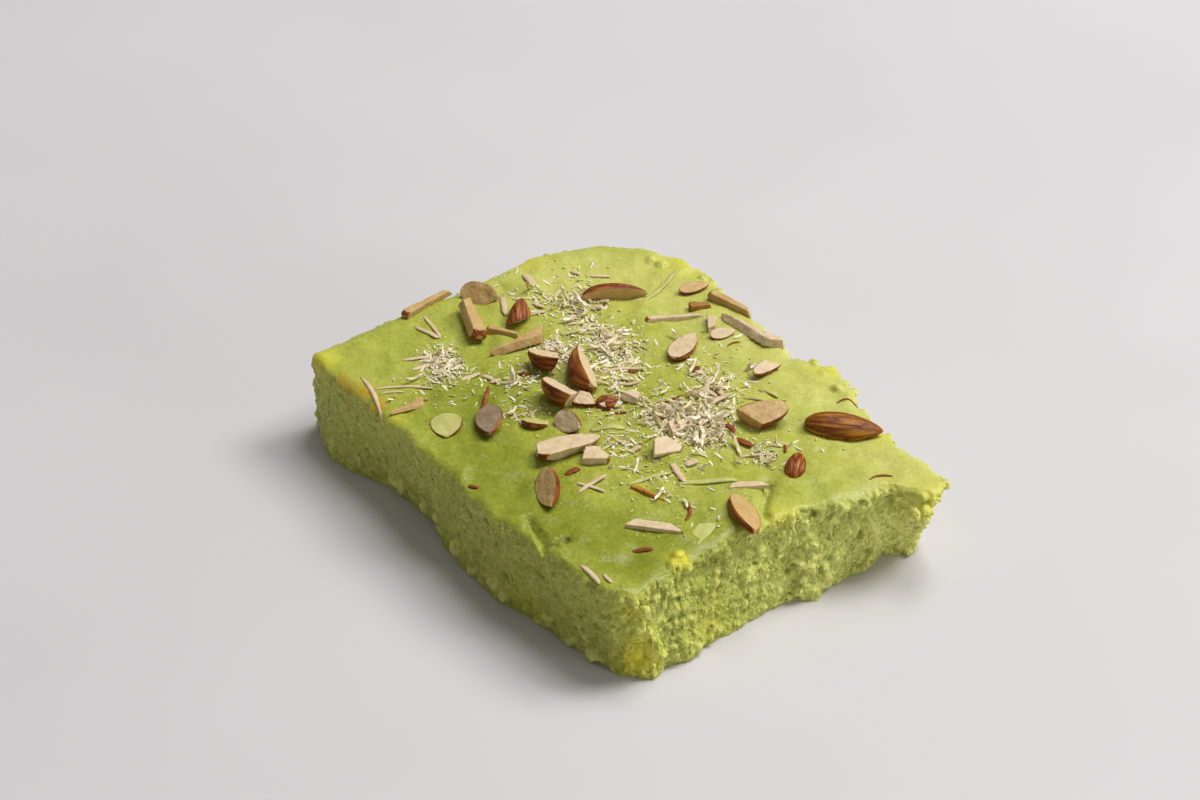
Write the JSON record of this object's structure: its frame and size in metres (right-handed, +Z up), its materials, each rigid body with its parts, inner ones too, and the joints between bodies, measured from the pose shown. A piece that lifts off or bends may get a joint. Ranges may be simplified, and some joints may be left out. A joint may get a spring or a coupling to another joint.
{
  "type": "bottle gourd halwa slab",
  "caption": "Thick tray-cut slab of soft green bottle gourd sweet with craggy cut faces and a smooth top set with chopped almonds and fine gratings.",
  "frame": {"origin": "middle of the footprint, on the surface that the slab stands on", "axes": "+Z up, shortest side; X along the slab's long side; the straight cut face looks to -Y and the craggy one to +X"},
  "size_m": [0.15, 0.1144, 0.0341],
  "materials": {
    "gourd_halwa": "moist, soft sheen on top, crumbly on the cut faces",
    "almond_skin": "satin, finely ridged brown skin",
    "almond_flesh": "matt cream cut nut"
  },
  "bodies": {
    "root": {"halwa_slab": "gourd_halwa", "almond_whole": "almond_skin", "almond_half_dark": "almond_skin", "almond_half_up": "almond_skin", "almond_half_front": "almond_skin", "almond_half_long": "almond_flesh", "almond_wedge_tall": "almond_skin", "almond_wedge_pale": "almond_skin", "almond_chunk_split": "almond_skin", "almond_chunk_brown": "almond_skin", "almond_chunk_low": "almond_skin", "almond_chunk_skin": "almond_skin", "almond_end_edge": "almond_skin", "almond_chip_left": "almond_flesh", "almond_chip_middle": "almond_flesh", "almond_chip_back": "almond_flesh", "almond_chip_heap": "almond_flesh", "almond_chip_rim": "almond_skin", "almond_slice_skin": "almond_skin", "almond_slice_back": "almond_skin", "almond_slice_plum": "almond_flesh", "almond_slice_upright": "almond_flesh", "almond_slice_grey": "almond_flesh", "almond_slice_tucked": "almond_flesh", "almond_slice_rim": "almond_flesh", "almond_slice_pale": "almond_flesh", "almond_flake_clear": "almond_flesh", "almond_flake_tan": "almond_flesh", "almond_flake_green": "almond_flesh", "almond_baton_left": "almond_flesh", "almond_baton_thick": "almond_flesh", "almond_baton_thin": "almond_flesh", "almond_baton_pale": "almond_flesh", "almond_baton_rear": "almond_flesh", "almond_baton_long": "almond_flesh", "almond_baton_tip": "almond_flesh", "almond_baton_brown": "almond_flesh", "almond_baton_short": "almond_flesh", "almond_baton_sunk": "almond_flesh", "almond_strip_front": "almond_flesh", "almond_strip_right": "almond_flesh"}
  },
  "joints": []
}
